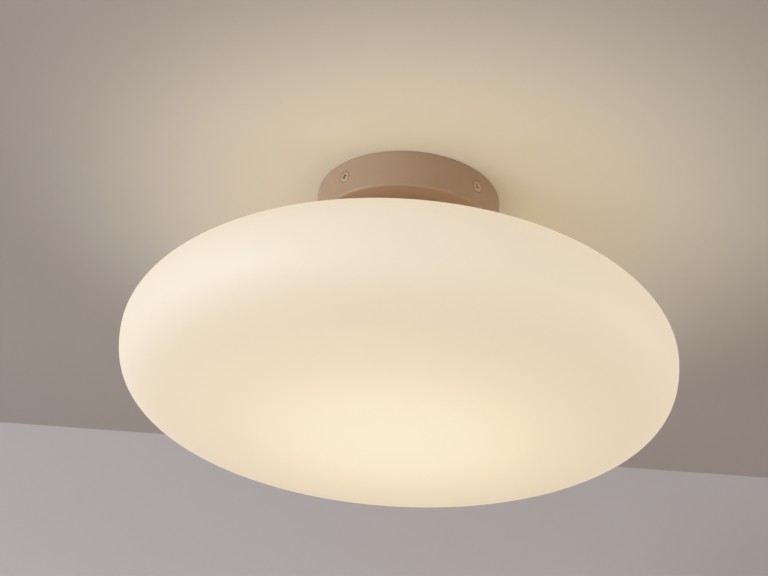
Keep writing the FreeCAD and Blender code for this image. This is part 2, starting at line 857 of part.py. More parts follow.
def lampholder_end(side):
    """Last corners of a wire: down through the nipple, then out beside the contact's screw."""
    beside = side * (contact_screw_diameter / 2 + wire_diameter / 2 + screw_gap)
    fan_z = contact_wire_z + wire_fan_drop
    return [Vector(side * wire_spread, 0, wire_high_z),
            Vector(side * wire_spread, 0, fan_z),
            Vector(side * wire_fan_reach, beside, contact_wire_z),
            Vector(side * (holder_inner_radius - wire_tail_gap), beside, contact_wire_z)]


def clamp_end(pole):
    return Vector(block_depth / 2 - wire_clamp_hold, pole_places()[pole], clamp_z)


def live_wire():
    start = clamp_end(0)
    points = [start, Vector(live_wire_reach, start.y, clamp_z), Vector(live_wire_reach, 0, wire_high_z)]
    return wire("live_wire", points + lampholder_end(1))


def neutral_wire():
    start = clamp_end(1)
    points = [start, Vector(neutral_wire_reach, start.y, clamp_z),
              Vector(neutral_wire_reach, -neutral_wire_return, wire_high_z),
              Vector(-wire_spread, -neutral_wire_return, wire_high_z)]
    return wire("neutral_wire", points + lampholder_end(-1))


def earth_wire():
    start = clamp_end(2)
    end = barrel_place(*first_ring, barrel_gap)
    points = [start, Vector(earth_wire_reach, start.y, clamp_z),
              Vector(earth_wire_corner_x, earth_wire_corner_y, end.z), end]
    return wire("earth_wire", points)


def link_wire():
    start = barrel_place(*link_ring, barrel_gap)
    end = barrel_place(*canopy_ring, barrel_gap)
    corner = Vector(stud_circle_radius + link_wire_offset, start.y, start.z)
    points = [start, corner, Vector(end.x, link_wire_corner_y, end.z), end]
    return wire("link_wire", points)


# The glass globe and its seal

def quarter_outline(radius, height, rim_pull_share, pole_pull_share):
    """A quarter of the globe's section, from rim to pole. The height is negative for the lower one."""
    pole_z = globe_rim_z + height
    curve = Part.BezierCurve()
    curve.setPoles([place(radius, globe_rim_z), place(radius, globe_rim_z + height * rim_pull_share),
                    place(radius * pole_pull_share, pole_z), place(0, pole_z)])
    return curve


def shoulder(neck_foot, curve_end, curve_direction):
    """The sweep of the glass from the upright neck out to the globe."""
    pull = shoulder_pull_share * (curve_end - neck_foot).Length
    curve = Part.BezierCurve()
    curve.setPoles([neck_foot, neck_foot + DOWN * pull, curve_end + curve_direction * pull, curve_end])
    return curve.toShape()


def glass_skin(inset, neck_foot):
    """One skin of the glass, from the foot of the neck to the bottom pole, and that pole."""
    radius = globe_radius - inset
    upper = quarter_outline(radius, globe_upper_height - inset, upper_rim_pull_share, upper_pole_pull_share)
    lower = quarter_outline(radius, inset - globe_lower_height, lower_rim_pull_share, lower_pole_pull_share)
    meeting = upper.value(shoulder_start_share)
    direction = upper.tangent(shoulder_start_share)[0]
    upper.segment(0, shoulder_start_share)
    pole = lower.value(1)
    return [shoulder(neck_foot, meeting, direction), upper.toShape(), lower.toShape()], pole


def glass_globe():
    bead_foot = place(bead_radius, bead_low_z)
    inner_foot = place(neck_radius - globe_wall, bead_low_z)
    outer_skin, outer_pole = glass_skin(0, bead_foot)
    inner_skin, inner_pole = glass_skin(globe_wall, inner_foot)
    lip = neck_lip_radius
    inner_radius = neck_radius - globe_wall
    out_start, out_middle, out_end, centre = corner_arc(
        place(inner_radius, neck_top_z), place(neck_radius, neck_top_z), place(neck_radius, ledge_z), lip)
    in_start, in_middle, in_end, centre = corner_arc(
        place(neck_radius, neck_top_z), place(inner_radius, neck_top_z), inner_foot, lip)
    rim = [line(in_start, out_start), Part.Arc(out_start, out_middle, out_end).toShape(),
           line(out_end, place(neck_radius, ledge_z)),
           line(place(neck_radius, ledge_z), place(bead_radius, ledge_z)),
           line(place(bead_radius, ledge_z), bead_foot)]
    closing = [line(outer_pole, inner_pole)]
    inside = [line(inner_foot, in_end), Part.Arc(in_end, in_middle, in_start).toShape()]
    edges = Part.__sortEdges__(rim + outer_skin + closing + inner_skin + inside)
    return Part.Face(Part.Wire(edges)).revolve(Vector(0, 0, 0), UP, FULL)


def globe_seal():
    inner = neck_radius + running_gap
    return turned([
        (inner, ledge_z, 0),
        (gallery_radius, ledge_z, seal_edge_radius),
        (gallery_radius, seal_top_z, seal_edge_radius),
        (inner, seal_top_z, 0),
    ])


# The bulb

def bulb_tip():
    tip = bulb_tip_diameter / 2
    return turned([(0, bulb_top_z, 0), (tip, bulb_top_z, bulb_tip_height / 2), (tip, bulb_insulator_z, 0),
                   (0, bulb_insulator_z, 0)])


def bulb_insulator():
    tip = bulb_tip_diameter / 2
    base = bulb_cap_radius - bulb_cap_edge_radius - bulb_insulator_step
    return turned([(0, bulb_insulator_z, 0), (tip, bulb_insulator_z, 0), (base, bulb_cap_z, 0),
                   (0, bulb_cap_z, 0)])


def bulb_cap():
    outer = bulb_cap_radius
    inner = outer - bulb_cap_wall
    roof_z = bulb_cap_z - bulb_cap_wall
    return turned([(0, bulb_cap_z, 0), (outer, bulb_cap_z, bulb_cap_edge_radius), (outer, bulb_skirt_z, 0),
                   (inner, bulb_skirt_z, 0), (inner, roof_z, bulb_cap_edge_radius - bulb_cap_wall),
                   (0, roof_z, 0)])


def housing_flare(waist, joint, top_z, low_z):
    """The hollow curve of the housing's side, from its waist to its joint with the diffuser."""
    middle_z = (top_z + low_z) / 2
    middle_radius = waist + (joint - waist) * bulb_housing_belly_share
    return Part.Arc(place(waist, top_z), place(middle_radius, middle_z), place(joint, low_z)).toShape()


def bulb_housing():
    """A hollow plastic cone with a sleeve inside the screw cap and a seat for the LED board."""
    sleeve = bulb_cap_radius - bulb_cap_wall - screw_gap
    sleeve_bore = sleeve - bulb_housing_wall
    sleeve_z = bulb_skirt_z + bulb_sleeve_depth
    waist = bulb_cap_radius + bulb_housing_lip
    joint = bulb_joint_radius
    inner_joint = joint - bulb_housing_wall
    flare_top_z = bulb_skirt_z
    edges = [
        line(place(sleeve_bore, sleeve_z), place(sleeve, sleeve_z)),
        line(place(sleeve, sleeve_z), place(sleeve, flare_top_z)),
        line(place(sleeve, flare_top_z), place(waist, flare_top_z)),
        housing_flare(waist, joint, flare_top_z, bulb_joint_z),
        line(place(joint, bulb_joint_z), place(inner_joint, bulb_joint_z)),
        housing_flare(sleeve_bore, inner_joint, flare_top_z, bulb_joint_z),
        line(place(sleeve_bore, flare_top_z), place(sleeve_bore, sleeve_z)),
    ]
    return Part.Face(Part.Wire(Part.__sortEdges__(edges))).revolve(Vector(0, 0, 0), UP, FULL)


def bulb_diffuser():
    """A ball, cut flat where it meets the housing, and hollow."""
    centre = Vector(0, 0, bulb_ball_z)
    ball = Part.makeSphere(bulb_ball_radius, centre)
    hollow = Part.makeSphere(bulb_ball_radius - bulb_diffuser_wall, centre)
    above = disc(bulb_ball_radius + cut_overrun, bulb_joint_z, bulb_joint_z + bulb_ball_radius)
    return ball.cut(hollow).cut(above)


def board_radius():
    """The LED board lies on the housing's rim, inside the diffuser."""
    low_z = bulb_joint_z - bulb_board_thickness
    reach = bulb_ball_radius - bulb_diffuser_wall
    at_top = math.sqrt(reach ** 2 - (bulb_joint_z - bulb_ball_z) ** 2)
    at_low = math.sqrt(reach ** 2 - (low_z - bulb_ball_z) ** 2)
    return min(at_top, at_low) - bulb_board_gap


def bulb_led_board():
    return disc(board_radius(), bulb_joint_z - bulb_board_thickness, bulb_joint_z)


def bulb_led_chips():
    high_z = bulb_joint_z - bulb_board_thickness
    circle = board_radius() * bulb_chip_circle_share
    chip = block(bulb_chip_size, bulb_chip_size, high_z - bulb_chip_height, high_z, circle)
    return around(chip, bulb_chip_count)


def bulb_driver():
    """The circuit board stands on the LED board, up into the screw cap, with a capacitor beside it."""
    board = block(driver_width, driver_thickness, bulb_joint_z, bulb_joint_z + driver_length)
    capacitor = disc(driver_part_diameter / 2, bulb_joint_z, bulb_joint_z + driver_part_height, 0,
                     (driver_part_diameter + driver_thickness) / 2)
    return board.fuse(capacitor)


def main():
    os.makedirs("parts", exist_ok=True)
    groups = {
        "ceiling_bracket": [ceiling_bracket()],
        "cable_bushing": [cable_bushing()],
        "terminal_block": [terminal_block()],
        "terminal_clamps": terminal_clamps(),
        "terminal_screws": terminal_screws(),
        "block_screws": block_screws(),
        "earth_screw": [earth_screw()],
        "earth_washer": [earth_washer()],
        "earth_rings": earth_rings(),
        "canopy": [canopy()],
        "canopy_screws": canopy_screws(),
        "canopy_studs": studs(),
        "stud_washers": stud_washers(),
        "stud_nuts": stud_nuts(),
        "gallery": [gallery()],
        "holder_bridge": [holder_bridge()],
        "holder_nipple": [holder_nipple()],
        "nipple_washer": [nipple_washer()],
        "nipple_nut": [nipple_nut()],
        "lampholder_cap": [lampholder_cap()],
        "lampholder_body": [lampholder_body()],
        "lampholder_core": [lampholder_core()],
        "lampholder_shell": [lampholder_shell()],
        "centre_contact": [centre_contact()],
        "side_contact": [side_contact()],
        "contact_screws": contact_screws(),
        "live_wire": [live_wire()],
        "neutral_wire": [neutral_wire()],
        "earth_wire": [earth_wire()],
        "link_wire": [link_wire()],
        "glass_globe": [glass_globe()],
        "globe_seal": [globe_seal()],
        "bulb_tip": [bulb_tip()],
        "bulb_insulator": [bulb_insulator()],
        "bulb_cap": [bulb_cap()],
        "bulb_housing": [bulb_housing()],
        "bulb_diffuser": [bulb_diffuser()],
        "bulb_led_board": [bulb_led_board()],
        "bulb_led_chips": bulb_led_chips(),
        "bulb_driver": [bulb_driver()],
    }
    for name, shapes in groups.items():
        save(name, shapes)


main()
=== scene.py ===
import json
import math

import bmesh
import bpy
from mathutils import Matrix, Vector

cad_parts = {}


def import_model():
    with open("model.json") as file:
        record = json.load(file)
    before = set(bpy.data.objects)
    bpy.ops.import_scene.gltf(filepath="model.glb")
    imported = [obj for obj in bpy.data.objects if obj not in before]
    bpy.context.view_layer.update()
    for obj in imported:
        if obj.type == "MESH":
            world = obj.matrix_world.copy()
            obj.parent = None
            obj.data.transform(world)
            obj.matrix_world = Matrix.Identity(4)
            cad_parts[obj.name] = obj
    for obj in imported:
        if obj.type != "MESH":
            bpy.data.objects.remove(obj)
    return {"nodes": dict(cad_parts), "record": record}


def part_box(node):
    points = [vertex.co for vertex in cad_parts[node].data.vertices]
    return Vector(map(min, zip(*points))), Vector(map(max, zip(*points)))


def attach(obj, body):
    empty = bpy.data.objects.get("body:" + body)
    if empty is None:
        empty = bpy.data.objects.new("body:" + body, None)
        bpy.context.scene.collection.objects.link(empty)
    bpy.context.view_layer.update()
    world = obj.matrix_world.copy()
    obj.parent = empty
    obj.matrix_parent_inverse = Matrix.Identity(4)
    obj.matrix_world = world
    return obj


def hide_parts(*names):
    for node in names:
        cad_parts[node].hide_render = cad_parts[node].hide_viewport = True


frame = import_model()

# Metres throughout. The ceiling is the plane z = 0 and the light hangs below it on the z axis.

full_turn = 2 * math.pi
quarter_turn = math.pi / 2

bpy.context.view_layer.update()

# Sizes and places read from the frame
canopy_low, canopy_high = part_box("canopy")
screws_low, screws_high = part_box("canopy_screws")
globe_low, globe_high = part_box("glass_globe")
seal_low, seal_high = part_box("globe_seal")
shell_low, shell_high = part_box("lampholder_shell")
core_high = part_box("lampholder_core")[1]
cap_low, cap_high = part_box("bulb_cap")
canopy_radius = canopy_high.x
collar_radius = seal_high.x
globe_radius = globe_high.x
core_radius = core_high.x
cap_radius = cap_high.x

# Canopy
canopy_wall = 0.0012
canopy_edge_radius = 0.0015
canopy_inner_edge_radius = 0.0005
canopy_hole_gap = 0.0002
canopy_floor_z = canopy_low.z + canopy_wall
side_depth_share = 1 / 3
side_normal_share = 0.98
upright_share = 0.02

# Canopy screws
screw_count = 4
screw_first_angle = math.radians(45.0)
screw_z = (screws_low.z + screws_high.z) / 2
screw_head_radius = 0.00375
screw_shank_radius = 0.0020
screw_length = 0.0080
screw_head_rim = 0.00025
screw_gap = 0.0002
sink_gap = 0.0004
screw_turns = [math.radians(angle) for angle in (17.0, 58.0, 99.0, 140.0)]

# Cross recess of the canopy screws
recess_depth = 0.0018
recess_reach = 0.0021
recess_arm_width = 0.00095
recess_core_radius = 0.00075
recess_core_rise_share = 1.5
recess_foot_share = 0.42
recess_taper_share = 0.72
recess_core_depth_shares = (0.6, 1.12)

# Driver slots of the small screws inside
slot_share = 0.22
slot_depth = 0.0007
slot_turn_step = math.radians(37.0)
weld_distance = 0.000001

# Glass globe
globe_rim_z = -0.1235
globe_wall = 0.004
globe_upper_height = 0.056
upper_rim_pull_share = 0.64
upper_pole_pull_share = 0.60
lower_rim_pull_share = 0.66
lower_pole_pull_share = 0.90
shoulder_start_share = 0.8
shoulder_pull_share = 0.5
neck_radius = 0.0412
neck_lip_radius = 0.0015
neck_corner_radius = 0.0003
bead_overhang = 0.0005
bead_height = 0.003
bead_corner_radius = 0.0006

# Thread between the glass neck and the collar
collar_wall = 0.0012
neck_thread_pitch = 0.005
neck_thread_turns = 1.75
neck_thread_height = 0.0009
neck_thread_half_width = 0.0013
neck_thread_start = 0.004
collar_thread_width_share = 0.5
thread_fade_turn_share = 1 / 6
thread_fade_floor_share = 0.02
thread_section_shares = ((-1.0, -0.25), (-0.62, 0.55), (-0.22, 0.95),
                         (0.22, 0.95), (0.62, 0.55), (1.0, -0.25))

# Edison thread, rolled into the bulb's cap and the lampholder's shell
edison_pitch = 0.00363
edison_fade = 0.0016
edison_step = 0.00026
cap_thread_depth = 0.0005
cap_wall = 0.0005
cap_edge_radius = 0.0012
cap_thread_margin = 0.0022
shell_thread_depth = 0.00035
shell_wall = 0.0005
shell_thread_gap = 0.0004
shell_thread_margin = 0.0010

# Fineness of the meshes
lathe_steps = 256
small_lathe_steps = 96
curve_steps = 26
corner_steps = 5
thread_steps_per_turn = 72
sharp_angle = math.radians(28.0)
axis_tolerance = 1e-9

# Sockets of the colour Mix node, which it knows by number only
mix_first_socket = 6
mix_second_socket = 7
mix_result_socket = 2

# Noise lies mostly in this band. Surface grain is finer than the colour's clouds by the ratio.
noise_low = 0.3
noise_high = 0.7
noise_detail = 3.0
fine_detail = 5.0
grain_ratio = 40
grain_height = 0.00004

# Each row: two colours, the least and most roughness, the clouds' scale, the grain's strength
metals = {
    "bracket_zinc": ((0.60, 0.61, 0.63), (0.50, 0.50, 0.50), 0.28, 0.45, 45.0, 0.15),
    "brass": ((0.80, 0.56, 0.24), (0.70, 0.46, 0.19), 0.25, 0.4, 60.0, 0.1),
    "steel_screws": ((0.60, 0.60, 0.60), (0.50, 0.50, 0.51), 0.25, 0.42, 140.0, 0.12),
    "tinned_copper": ((0.66, 0.65, 0.63), (0.58, 0.55, 0.51), 0.3, 0.42, 120.0, 0.1),
    "nickel_screws": ((0.66, 0.54, 0.43), (0.58, 0.47, 0.37), 0.36, 0.48, 300.0, 0.12),
    "bulb_solder": ((0.58, 0.58, 0.58), (0.48, 0.48, 0.48), 0.3, 0.5, 500.0, 0.2),
    "bulb_nickel": ((0.66, 0.64, 0.60), (0.58, 0.56, 0.52), 0.2, 0.32, 160.0, 0.08),
    "led_board_aluminium": ((0.78, 0.78, 0.78), (0.7, 0.7, 0.7), 0.4, 0.5, 50.0, 0.1),
}
plastics = {
    "bushing_rubber": ((0.022, 0.022, 0.022), (0.035, 0.034, 0.033), 0.6, 0.75, 60.0, 0.3),
    "block_plastic": ((0.70, 0.69, 0.64), (0.66, 0.65, 0.60), 0.42, 0.52, 60.0, 0.12),
    "holder_plastic": ((0.76, 0.74, 0.69), (0.73, 0.70, 0.64), 0.35, 0.45, 60.0, 0.12),
    "holder_ceramic": ((0.74, 0.70, 0.60), (0.66, 0.62, 0.54), 0.6, 0.75, 60.0, 0.3),
    "brown_insulation": ((0.070, 0.030, 0.014), (0.055, 0.024, 0.012), 0.3, 0.4, 60.0, 0.12),
    "blue_insulation": ((0.010, 0.055, 0.26), (0.012, 0.065, 0.30), 0.3, 0.4, 60.0, 0.12),
    "seal_silicone": ((0.60, 0.57, 0.51), (0.56, 0.53, 0.47), 0.45, 0.55, 60.0, 0.12),
    "bulb_vitrite": ((0.012, 0.012, 0.014), (0.018, 0.018, 0.02), 0.12, 0.2, 60.0, 0.05),
    "bulb_white": ((0.80, 0.80, 0.79), (0.77, 0.77, 0.76), 0.3, 0.38, 60.0, 0.12),
    "driver_board": ((0.014, 0.075, 0.032), (0.02, 0.09, 0.04), 0.35, 0.45, 60.0, 0.12),
}

# Each row: the colour and the strength of its glow
lit_plastics = {
    "bulb_opal": ((0.62, 0.56, 0.45), 0.55),
    "led_chips": ((0.62, 0.47, 0.17), 0.6),
}
lit_roughness = 0.4
lit_scale = 40.0
lit_detail = 2.0
lit_least_share = 0.94

# Powder coat
paint_first = (0.390, 0.264, 0.177)
paint_second = (0.370, 0.251, 0.168)
paint_roughness_low = 0.40
paint_roughness_high = 0.48
paint_scale = 28.0
paint_grain_scale = 2600.0
paint_grain_detail = 4.0
paint_grain_strength = 0.2
paint_grain_height = 0.00005

# Striped insulation
stripe_green = (0.035, 0.26, 0.05)
stripe_yellow = (0.78, 0.60, 0.03)
stripe_roughness = 0.35
stripe_scale = 95.0
stripe_low = 0.60
stripe_high = 0.64

# Opal glass. Its glow has a colour at each share of the way from the bottom pole out to the rim.
glass_colour = (0.30, 0.29, 0.27)
glass_roughness_low = 0.57
glass_roughness_high = 0.62
glass_scale = 9.0
glass_detail = 2.0
glow_stops = ((0.0, (0.780, 0.694, 0.470)), (0.3, (0.764, 0.662, 0.450)), (0.5, (0.709, 0.593, 0.393)),
              (0.75, (0.631, 0.520, 0.352)), (0.9, (0.611, 0.501, 0.351)), (1.0, (0.621, 0.527, 0.389)))
shoulder_glow = (0.59, 0.425, 0.23)
shoulder_glow_low_z = -0.102
shoulder_glow_high_z = -0.066

# Stage and lamps
floor_size = 14.0
floor_z = -1.35
floor_colour = (0.72, 0.70, 0.67)
floor_roughness = 0.9
plaster_roughness = 0.95
plaster_height = 0.002
ceiling_reach = 3.2
ceiling_gap = 0.0002
ceiling_hole_radius = canopy_radius - canopy_wall
# Painted light: the ceiling's colour carries the lamp's warm pool of light, lighter and warmer near the
# pool's centre and greyer further out.
ceiling_near_colour = (0.890, 0.865, 0.785)
ceiling_far_colour = (0.545, 0.480, 0.447)
ceiling_scale = 30.0
ceiling_detail = 6.0
ceiling_bump = 0.12
pool_centre = (0.034, 0.023, 0)
pool_start_radius = 0.115
pool_end_radius = 0.328
wall_y = 0.4245
wall_height = 1.35
wall_colour = (0.590, 0.542, 0.540)
wall_scale = 60.0
wall_detail = 8.0
wall_bump = 0.15
light_aim = (0, 0, -0.08)
window_place = (-3.3, -1.6, -0.36)
window_size = (1.8, 0.6)
window_power = 70.0
window_colour = (0.788, 0.888, 1.0)
fill_place = (2.8, -0.05, -0.65)
fill_size = (0.7, 0.9)
fill_power = 9.5
fill_colour = (1.0, 0.866, 0.615)
surrounding_strength = 0.92
shown_colour = (0.74, 0.72, 0.69)
shown_strength = 1.0

# Camera, from a fit to the photograph's outlines
camera_distance = 0.8435
camera_drop = 0.5323
camera_turn = math.radians(-0.91)
camera_yaw = -0.0144
camera_pitch = 0.5048
camera_roll = 0.0717
camera_clip = 0.01
photo_width = 768
focal_pixels = 1500.0
sensor_width = 36.0


# Profiles

def rounded(corners):
    """Points of a closed outline in radius and height. Each corner has the radius that rounds it."""
    points = []
    count = len(corners)
    for index, (r, z, radius) in enumerate(corners):
        corner = Vector((r, z))
        if radius <= 0:
            points.append(corner)
            continue
        back = (Vector(corners[index - 1][:2]) - corner).normalized()
        forth = (Vector(corners[(index + 1) % count][:2]) - corner).normalized()
        half_turn = (math.pi - back.angle(forth)) / 2
        centre = corner + (back + forth).normalized() * (radius / math.cos(half_turn))
        start = corner + back * radius * math.tan(half_turn) - centre
        end = corner + forth * radius * math.tan(half_turn) - centre
        for step in range(corner_steps + 1):
            points.append(centre + start.slerp(end, step / corner_steps).normalized() * radius)
    return points


def bezier(p0, p1, p2, p3, last=1.0):
    """Points of a cubic curve, from its start to the share last of its parameter."""
    points = []
    for step in range(curve_steps + 1):
        t = last * step / curve_steps
        s = 1 - t
        points.append(p0 * s ** 3 + p1 * (3 * s * s * t) + p2 * (3 * s * t * t) + p3 * t ** 3)
    return points


def divided(points, longest):
    """The same closed outline with its upright runs divided."""
    result = []
    for start, end in zip(points, points[1:] + points[:1]):
        on_axis = start.x < axis_tolerance and end.x < axis_tolerance
        parts = 1 if on_axis else max(1, math.ceil(abs(end.y - start.y) / longest))
        result += [start.lerp(end, part / parts) for part in range(parts)]
    return result


# Meshes

def finish_mesh(name, mesh):
    """Wraps a bmesh into an object with smooth faces and sharp edges where the surface turns."""
    bmesh.ops.recalc_face_normals(mesh, faces=mesh.faces)
    data = bpy.data.meshes.new(name)
    mesh.to_mesh(data)
    mesh.free()
    data.shade_smooth()
    data.set_sharp_from_angle(angle=sharp_angle)
    piece = bpy.data.objects.new(name, data)
    bpy.context.scene.collection.objects.link(piece)
    return piece


def lathe(name, profile, steps=lathe_steps, closed=True, inset=None):
    """A surface of revolution about z. The inset moves a point inwards by its angle and place."""
    mesh = bmesh.new()
    rings = []
    for point in profile:
        if point.x < axis_tolerance:
            rings.append([mesh.verts.new((0, 0, point.y))])
            continue
        ring = []
        for step in range(steps):
            angle = full_turn * step / steps
            radius = point.x - (inset(angle, point) if inset else 0)
            ring.append(mesh.verts.new((radius * math.cos(angle), radius * math.sin(angle), point.y)))
        rings.append(ring)
    pairs = list(zip(rings, rings[1:]))
    if closed:
        pairs.append((rings[-1], rings[0]))
    for first, second in pairs:
        if len(first) == 1 and len(second) == 1:
            continue
        for step in range(steps):
            after = (step + 1) % steps
            if len(first) == 1:
                mesh.faces.new((first[0], second[step], second[after]))
            elif len(second) == 1:
                mesh.faces.new((first[step], first[after], second[0]))
            else:
                mesh.faces.new((first[step], first[after], second[after], second[step]))
    return finish_mesh(name, mesh)


def helix_bead(name, radius, low_z, half_width, side):
    """A thread's ridge on a helix that fades in and out. The side is 1 outwards and -1 inwards."""
    mesh = bmesh.new()
    total = int(thread_steps_per_turn * neck_thread_turns)
    fade_steps = thread_steps_per_turn * thread_fade_turn_share
    rings = []
    for step in range(total + 1):
        angle = full_turn * step / thread_steps_per_turn
        fade = max(thread_fade_floor_share, min(1.0, step / fade_steps, (total - step) / fade_steps))
        z = low_z + neck_thread_pitch * step / thread_steps_per_turn
        ring = []
        for across, out in thread_section_shares:
            r = radius + side * neck_thread_height * fade * out
            ring.append(mesh.verts.new((r * math.cos(angle), r * math.sin(angle), z + across * half_width)))
        rings.append(ring)
    count = len(thread_section_shares)
    for first, second in zip(rings, rings[1:]):
        for index in range(count):
            after = (index + 1) % count
            mesh.faces.new((first[index], first[after], second[after], second[index]))
    mesh.faces.new(rings[0])
    mesh.faces.new(rings[-1][::-1])
    return finish_mesh(name, mesh)


def cut(piece, tool):
    """Cuts a tool out of a piece for good, and removes the tool."""
    modifier = piece.modifiers.new("cut", "BOOLEAN")
    modifier.operation = "DIFFERENCE"
    modifier.solver = "EXACT"
    modifier.object = tool
    depsgraph = bpy.context.evaluated_depsgraph_get()
    data = bpy.data.meshes.new_from_object(piece.evaluated_get(depsgraph))
    piece.modifiers.clear()
    piece.data = data
    bpy.data.objects.remove(tool)


def join(name, pieces):
    """One object out of several meshes."""
    mesh = bmesh.new()
    for piece in pieces:
        part = piece.data.copy()
        part.transform(piece.matrix_world)
        mesh.from_mesh(part)
        bpy.data.objects.remove(piece)
    return finish_mesh(name, mesh)


def around(angle):
    return Matrix.Rotation(angle, 4, "Z")


# Materials

def material(name, colour, roughness, metallic=0.0):
    """A new Principled material, with its node tree and shader."""
    made = bpy.data.materials.new(name)
    made.use_nodes = True
    shader = made.node_tree.nodes["Principled BSDF"]
    shader.inputs["Base Color"].default_value = (*colour, 1)
    shader.inputs["Roughness"].default_value = roughness
    shader.inputs["Metallic"].default_value = metallic
    return made, made.node_tree, shader


def node(tree, kind, **values):
    made = tree.nodes.new(kind)
    for key, value in values.items():
        if key in made.inputs:
            made.inputs[key].default_value = value
        else:
            setattr(made, key, value)
    return made


def noise(tree, scale, detail=noise_detail):
    coordinates = node(tree, "ShaderNodeTexCoord")
    pattern = node(tree, "ShaderNodeTexNoise", Scale=scale, Detail=detail)
    tree.links.new(coordinates.outputs["Object"], pattern.inputs["Vector"])
    return pattern.outputs["Fac"]


def spread(tree, source, low, high, first=noise_low, last=noise_high, kind="LINEAR"):
    """A value from low to high while its source goes from first to last."""
    made = node(tree, "ShaderNodeMapRange", interpolation_type=kind)
    made.inputs["From Min"].default_value = first
    made.inputs["From Max"].default_value = last
    made.inputs["To Min"].default_value = low
    made.inputs["To Max"].default_value = high
    tree.links.new(source, made.inputs["Value"])
    return made.outputs["Result"]


def mixed(tree, factor, first, second):
    """The first colour at 0 and the second at 1. The first may come from another node."""
    made = node(tree, "ShaderNodeMix", data_type="RGBA")
    if isinstance(first, tuple):
        made.inputs[mix_first_socket].default_value = (*first, 1)
    else:
        tree.links.new(first, made.inputs[mix_first_socket])
    made.inputs[mix_second_socket].default_value = (*second, 1)
    tree.links.new(factor, made.inputs["Factor"])
    return made.outputs[mix_result_socket]


def bump(tree, shader, source, strength, distance):
    made = node(tree, "ShaderNodeBump", Strength=strength, Distance=distance)
    tree.links.new(source, made.inputs["Height"])
    tree.links.new(made.outputs["Normal"], shader.inputs["Normal"])


def axis_distance(tree, centre=(0, 0, 0)):
    """How far a point lies from an upright axis through a centre."""
    coordinates = node(tree, "ShaderNodeTexCoord")
    moved = node(tree, "ShaderNodeVectorMath", operation="SUBTRACT")
    moved.inputs[1].default_value = centre
    flat = node(tree, "ShaderNodeVectorMath", operation="MULTIPLY")
    flat.inputs[1].default_value = (1, 1, 0)
    tree.links.new(coordinates.outputs["Object"], moved.inputs[0])
    tree.links.new(moved.outputs["Vector"], flat.inputs[0])
    reach = node(tree, "ShaderNodeVectorMath", operation="LENGTH")
    tree.links.new(flat.outputs["Vector"], reach.inputs[0])
    return reach.outputs["Value"]


def height(tree):
    coordinates = node(tree, "ShaderNodeTexCoord")
    parts = node(tree, "ShaderNodeSeparateXYZ")
    tree.links.new(coordinates.outputs["Object"], parts.inputs["Vector"])
    return parts.outputs["Z"]


def finish(name, metallic, first, second, low, high, scale, grain):
    """A surface whose colour wanders from first to second, and its roughness from low to high."""
    made, tree, shader = material(name, first, (low + high) / 2, metallic)
    pattern = noise(tree, scale, fine_detail)
    tree.links.new(mixed(tree, spread(tree, pattern, 0.0, 1.0), first, second), shader.inputs["Base Color"])
    tree.links.new(spread(tree, pattern, low, high), shader.inputs["Roughness"])
    bump(tree, shader, noise(tree, scale * grain_ratio), grain, grain_height)
    return made


def paint():
    """Warm taupe satin powder coat with a fine orange-peel surface."""
    made, tree, shader = material("taupe_paint", paint_first, paint_roughness_low)
    broad = noise(tree, paint_scale)
    colour = mixed(tree, spread(tree, broad, 0.0, 1.0), paint_first, paint_second)
    roughness = spread(tree, broad, paint_roughness_low, paint_roughness_high)
    grain = noise(tree, paint_grain_scale, paint_grain_detail)
    tree.links.new(colour, shader.inputs["Base Color"])
    tree.links.new(roughness, shader.inputs["Roughness"])
    bump(tree, shader, grain, paint_grain_strength, paint_grain_height)
    return made


def ramp(tree, source, stops):
    """A colour that runs smoothly through the stops, each a place between 0 and 1 and the colour there."""
    made = node(tree, "ShaderNodeValToRGB")
    made.color_ramp.interpolation = "CARDINAL"
    for place, _ in stops[1:-1]:
        made.color_ramp.elements.new(place)
    for element, (place, colour) in zip(made.color_ramp.elements, stops):
        element.position = place
        element.color = (*colour, 1)
    tree.links.new(source, made.inputs["Fac"])
    return made.outputs["Color"]


def opal_glass():
    """Satin opal glass, lit from inside. It glows most below the bulb, and warmer towards the neck."""
    made, tree, shader = material("opal_glass", glass_colour, glass_roughness_low)
    reach = spread(tree, axis_distance(tree), 0.0, 1.0, 0.0, globe_radius)
    above = spread(tree, height(tree), 0.0, 1.0, shoulder_glow_low_z, shoulder_glow_high_z)
    glow = mixed(tree, above, ramp(tree, reach, glow_stops), shoulder_glow)
    tree.links.new(glow, shader.inputs["Emission Color"])
    shader.inputs["Emission Strength"].default_value = 1.0
    pattern = noise(tree, glass_scale, glass_detail)
    roughness = spread(tree, pattern, glass_roughness_low, glass_roughness_high)
    tree.links.new(roughness, shader.inputs["Roughness"])
    return made


def lit_plastic(name, colour, strength):
    """Translucent plastic that glows evenly."""
    made, tree, shader = material(name, colour, lit_roughness)
    shader.inputs["Emission Color"].default_value = (*colour, 1)
    pattern = noise(tree, lit_scale, lit_detail)
    glow = spread(tree, pattern, strength * lit_least_share, strength)
    tree.links.new(glow, shader.inputs["Emission Strength"])
    return made


def striped_insulation():
    """Green insulation with a yellow stripe that winds slowly round the wire."""
    made, tree, shader = material("green_insulation", stripe_green, stripe_roughness)
    coordinates = node(tree, "ShaderNodeTexCoord")
    wave = node(tree, "ShaderNodeTexWave", Scale=stripe_scale, Distortion=0.0)
    tree.links.new(coordinates.outputs["Object"], wave.inputs["Vector"])
    stripe = spread(tree, wave.outputs["Fac"], 0.0, 1.0, stripe_low, stripe_high)
    tree.links.new(mixed(tree, stripe, stripe_green, stripe_yellow), shader.inputs["Base Color"])
    return made


